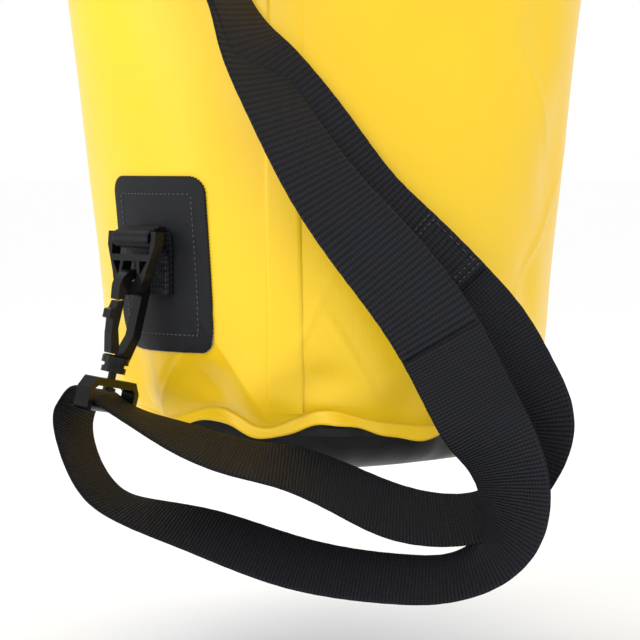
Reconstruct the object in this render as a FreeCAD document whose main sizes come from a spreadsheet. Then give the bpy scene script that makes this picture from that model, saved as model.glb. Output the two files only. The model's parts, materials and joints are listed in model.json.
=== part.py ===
import FreeCAD, Part
import math
import os

import Sketcher
from FreeCAD import Placement, Rotation, Vector

# A roll-top dry bag of about 20 litres, hung by the loop that its rolled and buckled
# mouth makes.  The origin is the underside of the buckle, where a hand or a peg holds the
# bag; +Z is up, X runs along the roll and the shoulder strap is in front, towards -Y.
# Heights below are first counted from the hem, where the bottom is welded in, and every
# piece is then lowered by hang_height.

DIMENSIONS = [
    ("hang_height", 540),        # hem to the underside of the buckle
    ("wall", 1.2),               # coated fabric of the tube and the bottom
    ("hem_radius", 98),          # tube at the hem
    ("hem_drop", 9),             # free edge of the tube below the weld
    ("flange_up", 6),            # bottom's flange inside the tube
    ("base_radius", 60),         # flat middle of the bottom
    ("base_drop", 28),           # flat middle below the hem
    ("top_height", 431),         # tube's top, under the roll
    ("roll_depth", 30),          # roll across the bag
    ("roll_thick", 16),          # roll through its turns
    ("roll_flat", 70),           # straight middle of the roll
    ("roll_bend", 45),           # radius of the roll's bends
    ("roll_turn", 150),          # degrees that each end is bent up
    ("roll_end", 20),            # straight ends of the roll
    ("shoulder_thick", 5),       # two layers of fabric outside the roll's bends
    ("stiffener_wide", 24),      # strip rolled inside the mouth
    ("stiffener_thick", 3),
    ("closure_wide", 25),        # webbing from the roll's ends to the buckle
    ("closure_thick", 1.6),
    ("buckle_long", 40),         # female half
    ("buckle_wide", 34),
    ("buckle_thick", 12),
    ("buckle_wall", 2),
    ("male_long", 14),           # bar end of the male half
    ("prong_thick", 6),
    ("seam_wide", 16),           # lengthwise weld
    ("patch_wide", 64),
    ("patch_high", 80),
    ("patch_corner", 8),
    ("stitch_wide", 48),
    ("stitch_high", 64),
    ("tab_wide", 25),
    ("tab_thick", 1.6),
    ("tab_high", 32),
    ("tab_reach", 11.5),         # ring bar from the face of the patch
    ("ring_bar", 2.2),           # radius
    ("ring_thick", 5.2),
    ("frame_inner", 40.4),       # strap frame, between its arms
    ("frame_arm", 4),
    ("frame_thick", 7),
    ("frame_bar", 2.4),          # radius
    ("frame_high", 13),
    ("hook_thick", 5.6),
    ("gate_thick", 5),
    ("stem_radius", 1.9),
    ("collar_radius", 6.3),
    ("strap_wide", 38),
    ("strap_thick", 1.6),
    ("strap_lap", 34),           # overlap where the two webbings are sewn together
]

# Half-width and half-depth of the filled bag at heights above the hem.  The tube's girth
# stays near 690 mm up to its shoulders, which the bent-up roll draws together.
BAG_SECTIONS = [
    (0, 98, 98), (12, 105, 105), (30, 108.5, 108.2), (60, 110.5, 108.6), (110, 116, 103.5),
    (160, 121.5, 98), (216, 128, 91), (280, 137, 76), (330, 143, 64), (370, 141, 54),
    (400, 134, 42), (420, 126, 25), (431, 120, 11),
]

# Where each ring hangs: a point on the bag's wall, the wall's outward direction, how far
# the ring leans out, the direction from the strap frame up the hook, and the direction of
# the strap frame's bar.
CLIPS = {
    "lower": {"wall": Vector(-77.5, -77.5, 82.5), "out": Vector(-0.707, -0.707, 0),
              "tilt": 6, "hook_dir": Vector(0.213, 0.093, 0.973),
              "bar_dir": Vector(0.37, 0.93, -0.1)},
    "upper": {"wall": Vector(-84.5, -48.9, 345), "out": Vector(-0.289, -0.929, 0.23),
              "tilt": 6, "hook_dir": Vector(-0.208, 0.47, 0.858),
              "bar_dir": Vector(0.6, 0.8, 0)},
}
RIM_DROP = 23.75                 # ring bar down to the middle of its rim
RIM_BEND = 8.75                  # radius of the rim's bend, along its middle
HOOK_REACH = 54.3                # ring's rim down to the strap frame's bar
STRAP_STATIONS = 352             # cross-sections along the whole strap

# The strap is one loop of two webbings.  Each row is a point on its middle line and the
# direction across it, from the edge that is on the left in the front strand.
FRONT_UP = [
    ((65, -139, 9), (37, -3, 9)), ((51, -140, 36), (36, 2, 12)), ((37, -140, 58), (35, 7, 13)),
    ((17, -139, 83), (33, 14, 13)), ((-3, -136, 109), (27, 23, 14)),
    ((-25, -129, 146), (17, 30, 15)), ((-37, -122, 167), (10, 34, 12)),
    ((-46, -115, 188), (8, 36, 8)), ((-64, -110, 224), (16, 34, 1)),
    ((-75, -103, 256), (25, 27, -8)),
]
REAR_DOWN = [
    ((-69, -107, 259), (25, 27, -8)), ((-56, -113, 224), (17, 33, 2)),
    ((-40, -115, 184), (14, 34, 8)), ((-31, -118, 168), (19, 30, 12)),
    ((-22, -117, 154), (24, 24, 15)), ((-4, -114, 127), (31, 14, 15)),
    ((17, -112, 98), (34, 8, 14)), ((37, -111, 78), (35, 4, 14)),
    ((57, -110, 58), (35, 2, 14)), ((74, -109, 38), (35, 0, 13)),
    ((86, -108, 17), (36, -5, 8)), ((93, -107, 2), (33, -15, -6)),
    ((92, -106, -17), (15, -26, -22)), ((83, -105, -33), (-2, -30, -24)),
    ((68, -105, -42), (-10, -32, -19)),
    ((33, -108, -40), (-12, -32, -17)), ((8, -112, -29), (-11, -33, -15)),
    ((-16, -115, -19), (-12, -34, -12)), ((-39, -115, -14), (-14, -34, -9)),
    ((-61, -110, -7), (-16, -34, -5)), ((-81, -102, 1), (-16, -34, 2)),
]
OUTER_BACK = [
    ((-106.4, -89.7, 13.8), (-14, -36, 6.5)), ((-113.8, -88.3, 5.5), (-14, -36, 6.5)),
    ((-113.2, -95.7, -10.3), (-14, -35, 8)),
    ((-100, -108, -31), (-17, -34, 4)), ((-86, -113, -38), (-19, -33, -2)),
    ((-56, -119, -46), (-17, -32, -10)), ((-12, -124, -60), (-15, -32, -14)),
    ((32, -128, -66), (-12, -33, -15)), ((54, -130, -65), (-6, -34, -16)),
    ((71, -132, -57), (8, -34, -16)), ((80, -134, -43), (23, -29, -9)),
    ((81, -136, -25), (30, -23, 0)), ((75, -138, -8), (34, -16, 5)),
]

doc = FreeCAD.newDocument("dry_bag")
sheet = doc.addObject("Spreadsheet::Sheet", "dims")
for row, (alias, number) in enumerate(DIMENSIONS, start=1):
    sheet.set("A%d" % row, alias)
    sheet.set("B%d" % row, str(number))
    sheet.setAlias("B%d" % row, alias)
doc.recompute()

NODES = []


def dim(alias):
    """A driving dimension, in millimetres or degrees."""
    return float(getattr(sheet, alias))


def lowered(vector):
    """A point given from the hem, moved into the part's own frame."""
    return vector - Vector(0, 0, dim("hang_height"))


def node(obj, label, placement=None):
    """Names a finished sub-part and puts it in its place."""
    obj.Label = label
    obj.Placement = placement or Placement(lowered(Vector(0, 0, 0)), Rotation())
    NODES.append(obj)
    return obj


def primitive(kind, name, base=(0, 0, 0), **sizes):
    """A Part primitive whose sizes are expressions on the sheet."""
    obj = doc.addObject("Part::" + kind, name)
    for size, expression in sizes.items():
        obj.setExpression(size, expression)
    obj.Placement.Base = Vector(*base)
    return obj


def cut(name, base, tool):
    obj = doc.addObject("Part::Cut", name)
    obj.Base = base
    obj.Tool = tool
    return obj


def fuse(name, *shapes):
    obj = doc.addObject("Part::MultiFuse", name)
    obj.Shapes = list(shapes)
    return obj


def feature(name, shape):
    """A sub-part whose shape is set by Part's own functions."""
    obj = doc.addObject("Part::Feature", name)
    obj.Shape = shape
    return obj


def new_body(name):
    return doc.addObject("PartDesign::Body", name)


def plane_sketch(body, name, role):
    """A sketch on one of the body's own origin planes."""
    sketch = body.newObject("Sketcher::SketchObject", name)
    plane = [p for p in body.Origin.OriginFeatures if p.Role == role][0]
    sketch.AttachmentSupport = [(plane, "")]
    sketch.MapMode = "FlatFace"
    return sketch


def draw(sketch, points):
    """A closed outline.  A point with a third value starts an arc of that bulge."""
    count = len(points)
    for i in range(count):
        start, end = points[i], points[(i + 1) % count]
        a, b = Vector(start[0], start[1], 0), Vector(end[0], end[1], 0)
        if len(start) == 2:
            sketch.addGeometry(Part.LineSegment(a, b), False)
            continue
        chord = b - a
        side = Vector(chord.y, -chord.x, 0).normalize()
        middle = (a + b) * 0.5 + side * start[2]
        sketch.addGeometry(Part.Arc(a, middle, b), False)


def pad(body, sketch, name, length):
    """A pad of both sides whose length is an expression on the sheet."""
    obj = body.newObject("PartDesign::Pad", name)
    obj.Profile = sketch
    obj.setExpression("Length", length)
    obj.Midplane = True
    return obj


def pocket(body, sketch, name, length):
    """A pocket of both sides that has to remove material."""
    doc.recompute()
    before = body.Shape.Volume
    obj = body.newObject("PartDesign::Pocket", name)
    obj.Profile = sketch
    obj.setExpression("Length", length)
    obj.Midplane = True
    doc.recompute()
    if not body.Shape.Volume < before - 0.01:
        raise RuntimeError(name + " removes nothing")
    return obj


# ---------------------------------------------------------------- the bag itself

def bag_loft(grow, sections=BAG_SECTIONS):
    """The filled bag's outer surface, grown outwards, as a solid."""
    wires = []
    for height, wide, deep in sections:
        oval = Part.Ellipse(Vector(0, 0, height), wide + grow, deep + grow)
        wires.append(Part.Wire([oval.toShape()]))
    return Part.makeLoft(wires, True, False)


def wall_band(inner, outer):
    """A skin over the bag's wall, from inner to outer above the fabric."""
    return bag_loft(outer).cut(bag_loft(inner))


def make_bag_body():
    """The tube: open at the hem, closed under the roll."""
    outer = bag_loft(0)
    inner = bag_loft(-dim("wall"), BAG_SECTIONS[:-1])
    node(feature("BagBody", outer.cut(inner)), "bag_body")


def make_bottom():
    """The bottom: an upright flange inside the tube and a bulging panel below it."""
    gap = 0.2
    outside = "dims.hem_radius - dims.wall - %s" % gap
    inside = outside + " - dims.wall"
    depth = "dims.base_drop - dims.hem_drop"
    low, drop, wall = -dim("base_drop"), -dim("hem_drop"), dim("wall")
    rise = "dims.hem_drop + dims.flange_up"
    flange = primitive("Cylinder", "FlangeOut", (0, 0, drop), Radius=outside, Height=rise)
    bulge = primitive("Cone", "BulgeOut", (0, 0, low), Radius1="dims.base_radius",
                      Radius2=outside, Height=depth)
    hollow = primitive("Cylinder", "FlangeIn", (0, 0, drop + wall), Radius=inside,
                       Height=rise)
    scoop = primitive("Cone", "BulgeIn", (0, 0, low + wall),
                      Radius1="dims.base_radius - dims.wall", Radius2=inside, Height=depth)
    solid = fuse("BottomOuter", flange, bulge)
    inner = fuse("BottomInner", hollow, scoop)
    node(cut("Bottom", solid, inner), "bottom_panel")


def make_hem():
    """The tube's free edge, left standing below the weld."""
    low = -dim("hem_drop")
    outer = primitive("Cylinder", "HemOut", (0, 0, low), Radius="dims.hem_radius",
                      Height="dims.hem_drop - 0.3")
    inner = primitive("Cylinder", "HemIn", (0, 0, low), Radius="dims.hem_radius - dims.wall",
                      Height="dims.hem_drop - 0.3")
    node(cut("Hem", outer, inner), "hem_band")


def make_seam():
    """The lengthwise weld, a strip laid over the tube left of its front."""
    middle, low, high = -19, 4, 405
    wide = dim("seam_wide")
    skin = wall_band(0.1, 0.8)
    slab = Part.makeBox(wide, 200, high - low, Vector(middle - wide / 2, -200, low))
    node(feature("SeamStrip", skin.common(slab)), "side_seam_strip")


# ---------------------------------------------------------------- the roll and its buckle

def roll_path():
    """The roll's middle line: a straight middle, two bends and two straight ends."""
    half, bend = dim("roll_flat") / 2, dim("roll_bend")
    turn, end = math.radians(dim("roll_turn")), dim("roll_end")
    base = dim("top_height") + dim("roll_thick") / 2 + 0.3

    def on_bend(angle):
        return Vector(half + bend * math.sin(angle), 0, base + bend * (1 - math.cos(angle)))

    tip = on_bend(turn) + Vector(math.cos(turn), 0, math.sin(turn)) * end
    flip = lambda p: Vector(-p.x, p.y, p.z)
    points = [tip, on_bend(turn), on_bend(turn / 2), on_bend(0)]
    left = [flip(p) for p in points]
    edges = [
        Part.LineSegment(left[0], left[1]), Part.Arc(left[1], left[2], left[3]),
        Part.LineSegment(left[3], points[3]), Part.Arc(points[3], points[2], points[1]),
        Part.LineSegment(points[1], points[0]),
    ]
    return Part.Wire([e.toShape() for e in edges]), left[0], left[1] - left[0]


def sweep_roll(wide, thick, rounded):
    """A bar of a rounded or plain section along the roll's middle line."""
    path, start, heading = roll_path()
    across = Vector(0, 1, 0)
    up = heading.cross(across).normalize()
    y, z = across * (wide / 2), up * (thick / 2)
    if rounded:
        flat = across * (wide / 2 - thick / 2)
        side = across * (wide / 2)
        edges = [
            Part.LineSegment(start - flat + z, start + flat + z),
            Part.Arc(start + flat + z, start + side, start + flat - z),
            Part.LineSegment(start + flat - z, start - flat - z),
            Part.Arc(start - flat - z, start - side, start - flat + z),
        ]
        section = Part.Wire([e.toShape() for e in edges])
    else:
        section = Part.makePolygon([start + y + z, start - y + z, start - y - z,
                                    start + y - z, start + y + z])
    return path.makePipeShell([section], True, False)


def make_roll():
    """The mouth rolled down over its stiffener, then bent up into a loop."""
    roll = sweep_roll(dim("roll_depth"), dim("roll_thick"), True)
    wide, thick = dim("stiffener_wide"), dim("stiffener_thick")
    slot = sweep_roll(wide + 0.4, thick + 0.4, False)
    node(feature("RollTop", roll.cut(slot)), "roll_top")
    node(feature("Stiffener", sweep_roll(wide, thick, False)), "mouth_stiffener")


def make_shoulders():
    """The doubled fabric that stands outside each bend of the roll, down to the tube."""
    thick = dim("shoulder_thick")
    bend, gap = dim("roll_bend"), 0.3
    base = dim("top_height") + gap
    centre = base + dim("roll_thick") / 2 + bend
    outline = [(60, base), (120, base), (117, 452), (107, 478), (92, 502), (76, 521),
               (62.5, 531.2)]
    roll = Part.makeCylinder(bend + dim("roll_thick") / 2 + gap, thick + 2,
                             Vector(dim("roll_flat") / 2, 1 + thick / 2, centre),
                             Vector(0, -1, 0))
    points = [Vector(x, -thick / 2, z) for x, z in outline]
    face = Part.Face(Part.makePolygon(points + points[:1]))
    right = face.extrude(Vector(0, thick, 0)).cut(roll)
    left = right.mirror(Vector(0, 0, 0), Vector(1, 0, 0))
    node(feature("ShoulderRight", right), "shoulder_right")
    node(feature("ShoulderLeft", left), "shoulder_left")


def buckle_height():
    """Middle of the buckle above the hem."""
    return dim("hang_height") + dim("buckle_thick") / 2


def make_buckle():
    """A side-release buckle: the female half on the right, the male half on the left."""
    long, wide, thick = dim("buckle_long"), dim("buckle_wide"), dim("buckle_thick")
    wall, level = dim("buckle_wall"), buckle_height()
    low = level - thick / 2
    left = -long / 2 + 4
    shell = primitive("Box", "FemaleOut", (left, -wide / 2, low), Length="dims.buckle_long",
                      Width="dims.buckle_wide", Height="dims.buckle_thick")
    room = primitive("Box", "FemaleRoom", (left, -wide / 2 + wall, low + wall),
                     Length="dims.buckle_long - 12",
                     Width="dims.buckle_wide - 2 * dims.buckle_wall",
                     Height="dims.buckle_thick - 2 * dims.buckle_wall")
    window = primitive("Box", "FemaleWindow", (left + 9, -wide / 2 - 1, low + wall),
                       Length="13", Width="dims.buckle_wide + 2",
                       Height="dims.buckle_thick - 2 * dims.buckle_wall")
    slot = primitive("Box", "FemaleSlot", (left + long - 8, -dim("closure_wide") / 2 - 0.6,
                                           low - 1),
                     Length="4", Width="dims.closure_wide + 1.2",
                     Height="dims.buckle_thick + 2")
    tools = fuse("FemaleTools", room, window, slot)
    rounded = doc.addObject("Part::Fillet", "FemaleRound")
    rounded.Base = shell
    rounded.Edges = [(edge, 2.0, 2.0) for edge in (1, 3, 5, 7)]
    node(cut("Female", rounded, tools), "buckle_female")

    base = primitive("Box", "MaleBase", (left - dim("male_long") - 0.4, -wide / 2, low + 1),
                     Length="dims.male_long", Width="dims.buckle_wide",
                     Height="dims.buckle_thick - 2")
    guide = primitive("Box", "MaleGuide", (left - 1, -3, low + wall + 1),
                      Length="24", Width="6", Height="dims.buckle_thick - 2 * dims.buckle_wall - 2")
    bar = primitive("Box", "MaleSlot", (left - dim("male_long") + 3.4,
                                        -dim("closure_wide") / 2 - 0.6, low - 1),
                    Length="4", Width="dims.closure_wide + 1.2",
                    Height="dims.buckle_thick + 2")
    node(cut("Male", fuse("MaleSolid", base, guide), bar), "buckle_male")
    for side, sign in (("front", -1), ("rear", 1)):
        make_prong(side, sign, left, level)


def make_prong(side, sign, left, level):
    """A springy prong of the male half, with a catch that fills the female's window."""
    body = new_body("Prong_" + side)
    sketch = plane_sketch(body, "ProngOutline_" + side, "XY_Plane")
    inner, outer, catch = 8.6, 11.8, 16.2
    outline = [(0, inner), (22, inner), (22, outer), (20.6, catch - 1), (19, catch),
               (10, catch), (9.6, outer), (0, outer)]
    draw(sketch, [(x, sign * y) for x, y in outline])
    body.Tip = pad(body, sketch, "ProngPad_" + side, "dims.prong_thick")
    node(body, "buckle_prong_" + side, Placement(lowered(Vector(left, 0, level)), Rotation()))


def strip(points, wide, thick):
    """A flat webbing across Y along points in the XZ plane."""
    last = len(points) - 1
    sides = ([], [])
    for i, point in enumerate(points):
        along = (points[min(i + 1, last)] - points[max(i - 1, 0)]).normalize()
        offset = Vector(-along.z, 0, along.x) * (thick / 2)
        sides[0].append(point + offset)
        sides[1].append(point - offset)
    ring = sides[0] + sides[1][::-1]
    ring = [Vector(p.x, -wide / 2, p.z) for p in ring]
    face = Part.Face(Part.makePolygon(ring + ring[:1]))
    return face.extrude(Vector(0, wide, 0))


def make_closure_webbing():
    """Webbing from the stiffener's ends up through the buckle's slots."""
    path, tip, heading = roll_path()
    level = buckle_height()
    slots = {"left": -dim("buckle_long") / 2 + 4 - dim("male_long") + 5.0,
             "right": dim("buckle_long") / 2 + 4 - 6.0}
    for side, sign in (("left", -1), ("right", 1)):
        end = Vector(sign * abs(tip.x), 0, tip.z)
        slot = Vector(slots[side], 0, level)
        points = [end + Vector(-sign * 0.6, 0, 0.3), end + Vector(-sign * 2.5, 0, 2.4),
                  slot + Vector(sign * 1.2, 0, -9), slot + Vector(0, 0, -7), slot,
                  slot + Vector(0, 0, 7)]
        node(feature("Closure_" + side, strip(points, dim("closure_wide"),
                                              dim("closure_thick"))),
             "closure_webbing_" + side)


# ---------------------------------------------------------------- patches, rings and hooks

def clip_frame(clip):
    """Placement at the ring's bar: X along the bar, -Y out of the wall, Z up it."""
    out = Vector(clip["out"]).normalize()
    along = Vector(-out.y, out.x, 0).normalize()
    reach = dim("tab_reach") + 1.5
    centre = clip["wall"] + out * reach
    turn = Rotation(along, out * -1, along.cross(out * -1), "ZXY")
    return centre, out, along, turn


def ring_placement(clip):
    """The ring on its bar, its rim leaning out from the wall."""
    centre, out, along, turn = clip_frame(clip)
    lean = Rotation(along, -clip["tilt"])
    return Placement(centre, lean.multiply(turn))


def rounded_slab(clip, wide, high, corner, drop, deep=30):
    """A block with rounded corners that stands across the bag's wall at a patch."""
    centre, out, along, turn = clip_frame(clip)
    block = Part.makeBox(wide, 2 * deep, high, Vector(-wide / 2, -deep, -high / 2))
    upright = [e for e in block.Edges
               if abs(e.Vertexes[0].Point.y - e.Vertexes[1].Point.y) > deep]
    block = block.makeFillet(corner, upright)
    block.Placement = Placement(clip["wall"] - along.cross(out * -1) * drop, turn)
    return block


def make_patch(name, clip):
    """A welded patch that follows the wall, and its rectangle of stitching."""
    drop = 12
    outline = rounded_slab(clip, dim("patch_wide"), dim("patch_high"), dim("patch_corner"),
                           drop)
    skin = wall_band(0.15, 1.4)
    node(feature("Patch_" + name, skin.common(outline)), name + "_patch")
    thread = 0.9
    outer = rounded_slab(clip, dim("stitch_wide"), dim("stitch_high"), 1, drop)
    inner = rounded_slab(clip, dim("stitch_wide") - 2 * thread,
                         dim("stitch_high") - 2 * thread, 0.5, drop)
    rows = wall_band(1.5, 1.9).common(outer.cut(inner))
    node(feature("Thread_" + name, rows), name + "_patch_thread")


def make_tab(name, clip):
    """Doubled webbing sewn to the patch, looped round the ring's bar."""
    centre, out, along, turn = clip_frame(clip)
    wide, thick, high = dim("tab_wide"), dim("tab_thick"), dim("tab_high")
    reach, eye = dim("tab_reach"), dim("ring_bar") + 0.4
    front = reach - 0.3
    base = Part.makeBox(wide, 2 * thick, high,
                        Vector(-wide / 2, front - 2 * thick, 6 - high))
    tube = Part.makeCylinder(eye + thick, wide, Vector(-wide / 2, 0, 0), Vector(1, 0, 0))
    bore = Part.makeCylinder(eye, wide, Vector(-wide / 2, 0, 0), Vector(1, 0, 0))
    legs = [Part.makeBox(wide, front - 2 * thick, thick, Vector(-wide / 2, 0, height))
            for height in (eye, -eye - thick)]
    shape = base.fuse([tube] + legs).removeSplitter().cut(bore)
    node(feature("Tab_" + name, shape), name + "_tab",
         Placement(lowered(centre), turn))


def make_ring(name, clip):
    """A moulded web ring: a round bar, two flanks, a cross rib and an open rim."""
    centre, out, along, turn = clip_frame(clip)
    body = new_body("Ring_" + name)
    plate = plane_sketch(body, "RingPlate_" + name, "XZ_Plane")
    draw(plate, [(-16.5, 3), (16.5, 3), (16.5, -3), (11.4, -16, -10), (-11.4, -16), (-16.5, -3)])
    pad(body, plate, "RingPad_" + name, "dims.ring_thick")
    holes = plane_sketch(body, "RingHoles_" + name, "XZ_Plane")
    draw(holes, [(-13.2, 4), (-13.2, -7.5), (13.2, -7.5), (13.2, 4)])
    draw(holes, [(-4.5, -10.5), (-5.6, -16.5, 4.6), (5.6, -16.5), (4.5, -10.5)])
    for sign in (-1, 1):
        draw(holes, [(sign * 6.6, -10.5), (sign * 7.6, -17), (sign * 12, -10.5)])
    pocket(body, holes, "RingOpen_" + name, "dims.ring_thick + 2")
    side = plane_sketch(body, "RingBar_" + name, "YZ_Plane")
    side.addGeometry(Part.Circle(Vector(0, 0, 0), Vector(0, 0, 1), 1), False)
    side.addConstraint(Sketcher.Constraint("Radius", 0, dim("ring_bar")))
    side.setExpression("Constraints[0]", "dims.ring_bar")
    body.Tip = pad(body, side, "RingBarPad_" + name, "dims.tab_wide + 4")
    place = ring_placement(clip)
    node(body, name + "_ring", Placement(lowered(place.Base), place.Rotation))


def hook_axes(clip):
    """The strap frame's bar, the direction up the hook and the one towards its spine."""
    centre, out, along, turn = clip_frame(clip)
    axis = Vector(clip["hook_dir"]).normalize()
    lean = math.asin(-axis.dot(along))
    ring = ring_placement(clip)
    rim = ring.multVec(Vector(RIM_BEND * math.sin(lean), 0,
                              RIM_BEND * (1 - math.cos(lean)) - RIM_DROP))
    rim_runs = ring.Rotation.multVec(Vector(math.cos(lean), 0, math.sin(lean)))
    spine = axis.cross(rim_runs).normalize()
    return rim - axis * HOOK_REACH, axis, spine


def make_frame(name, clip):
    """The strap frame that the hook swivels in."""
    bar_at, axis, spine = hook_axes(clip)
    body = new_body("Frame_" + name)
    half, arm, high = dim("frame_inner") / 2, dim("frame_arm"), dim("frame_high")
    bar, thick = dim("frame_bar"), dim("frame_thick")
    plate = plane_sketch(body, "FramePlate_" + name, "XZ_Plane")
    edge = half + arm
    draw(plate, [(-edge, -1), (-edge + 2, -bar), (edge - 2, -bar), (edge, -1),
                 (edge, high - 5), (edge - 5, high), (5 - edge, high), (-edge, high - 5)])
    pad(body, plate, "FramePad_" + name, "dims.frame_thick")
    window = plane_sketch(body, "FrameWindow_" + name, "XZ_Plane")
    draw(window, [(-half, -4), (half, -4), (half, high - 5), (half - 3, high - 3.6),
                  (3 - half, high - 3.6), (-half, high - 5)])
    pocket(body, window, "FrameOpen_" + name, "dims.frame_thick + 2")
    rod = plane_sketch(body, "FrameBar_" + name, "YZ_Plane")
    rod.addGeometry(Part.Circle(Vector(0, 0, 0), Vector(0, 0, 1), bar), False)
    pad(body, rod, "FrameBarPad_" + name, "dims.frame_inner + 1")
    bore = plane_sketch(body, "FrameBore_" + name, "XY_Plane")
    bore.addGeometry(Part.Circle(Vector(0, 0, 0), Vector(0, 0, 1), dim("stem_radius") + 0.3),
                     False)
    doc.recompute()
    hole = body.newObject("PartDesign::Pocket", "FrameHole_" + name)
    hole.Profile = bore
    hole.Reversed = True
    hole.Offset = 0
    hole.Type = "Length"
    hole.Length = high + 1
    doc.recompute()
    across = Vector(clip["bar_dir"])
    across = (across - axis * axis.dot(across)).normalize()
    turn = Rotation(across, axis.cross(across), axis, "ZXY")
    body.Tip = hole
    node(body, name + "_strap_frame", Placement(lowered(bar_at), turn))
    return across


def make_hook(name, clip):
    """The snap hook: stem, collar, spine and nose in one piece, and its springy gate."""
    bar_at, axis, spine = hook_axes(clip)
    place = Placement(lowered(bar_at), Rotation(spine, axis.cross(spine), axis, "ZXY"))
    eye = HOOK_REACH + 0.4
    body = new_body("Hook_" + name)
    arm = plane_sketch(body, "HookOutline_" + name, "XZ_Plane")
    nose, throat = 9.3, 4.8
    draw(arm, [(1.2, 22), (6, 22), (nose, 34), (nose, eye, nose), (-nose, eye),
               (1 - nose, eye - 6), (-throat, eye - 5.2), (-throat, eye, -throat),
               (throat, eye), (throat, 34), (1.2, 25)])
    pad(body, arm, "HookPad_" + name, "dims.hook_thick")
    lathe = plane_sketch(body, "CollarOutline_" + name, "XZ_Plane")
    stem, collar = dim("stem_radius"), dim("collar_radius")
    draw(lathe, [(0, 7.4), (3, 7.4), (3, 9), (stem, 9.1), (stem, 16), (collar - 0.6, 16),
                 (collar - 0.6, 18.6), (collar - 1.6, 18.8), (collar - 1.6, 20), (collar, 20.2),
                 (collar, 23.2), (collar - 0.8, 24), (0, 24)])
    turned = body.newObject("PartDesign::Revolution", "Collar_" + name)
    turned.Profile = lathe
    turned.ReferenceAxis = (lathe, ["V_Axis"])
    turned.Angle = 360
    body.Tip = turned
    doc.recompute()
    node(body, name + "_hook", place)

    gate = new_body("Gate_" + name)
    tongue = plane_sketch(gate, "GateOutline_" + name, "XZ_Plane")
    draw(tongue, [(-5.6, 24.4), (-1.4, 24.4), (-1.6, 28), (-4.4, 36), (-4.4, eye - 5.8),
                  (-7.8, eye - 6.6), (-8.6, eye - 10), (-11, eye - 11), (-11, eye - 15),
                  (-8.6, eye - 15), (-7.8, 33)])
    gate.Tip = pad(gate, tongue, "GatePad_" + name, "dims.gate_thick")
    node(gate, name + "_gate", place)


# ---------------------------------------------------------------- the shoulder strap

def bight(clip, across, first, last, step):
    """Points of the strap's middle line round a frame's bar, by angle about the bar."""
    bar_at, axis, spine = hook_axes(clip)
    across = (across - axis * axis.dot(across)).normalize()
    travel = axis.cross(across)
    radius = dim("frame_bar") + 0.8 + dim("strap_thick") / 2
    rows = []
    for angle in range(first, last + step, step):
        a = math.radians(angle)
        point = bar_at - travel * (radius * math.cos(a)) + axis * (radius * math.sin(a))
        rows.append((point, across))
    return rows


def strap_route(across):
    """The whole loop: up the front strand, down the rear one, round and back."""
    upper, lower = CLIPS["upper"], CLIPS["lower"]
    rows = [(Vector(*p), Vector(*w)) for p, w in FRONT_UP]
    over = bight(upper, across["upper"], 0, 180, 45)
    if (over[0][0] - rows[-1][0]).Length > (over[-1][0] - rows[-1][0]).Length:
        over.reverse()
    rows += over
    rows += [(Vector(*p), Vector(*w)) for p, w in REAR_DOWN]
    rows += [(p, w * -1) for p, w in bight(lower, across["lower"], 90, 90, 45)]
    rows += [(Vector(*p), Vector(*w)) for p, w in OUTER_BACK]
    return rows


def strap_stations(rows, count):
    """Even stations along the closed loop: point, heading, and direction across."""
    points = [p for p, w in rows]
    edges = [p + Vector(w).normalize() * 10 for p, w in rows]
    marks = [0.0]
    for a, b in zip(points, points[1:] + points[:1]):
        marks.append(marks[-1] + (b - a).Length ** 0.7)
    middle, edge = Part.BSplineCurve(), Part.BSplineCurve()
    middle.interpolate(Points=points, Parameters=marks, PeriodicFlag=True)
    edge.interpolate(Points=edges, Parameters=marks, PeriodicFlag=True)
    total = middle.length()
    stations = []
    for i in range(count):
        at = middle.parameterAtDistance(total * i / count, middle.FirstParameter)
        point = middle.value(at)
        heading = Vector(*middle.tangent(at)[0]).normalize()
        across = edge.value(at) - point
        across = (across - heading * heading.dot(across)).normalize()
        stations.append((point, heading, across))
    return stations, total


def ribbon(stations, lift):
    """A webbing through stations, shifted off their middle by lift(station number)."""
    half, thick = dim("strap_wide") / 2, dim("strap_thick") / 2
    wires = []
    for i, (point, heading, across) in enumerate(stations):
        normal = heading.cross(across)
        centre = point + normal * lift(i)
        corners = [centre + across * (u * half) + normal * (v * thick)
                   for u, v in ((-1, -1), (1, -1), (1, 1), (-1, 1), (-1, -1))]
        wires.append(Part.makePolygon(corners))
    return Part.makeLoft(wires, True, True)


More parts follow.
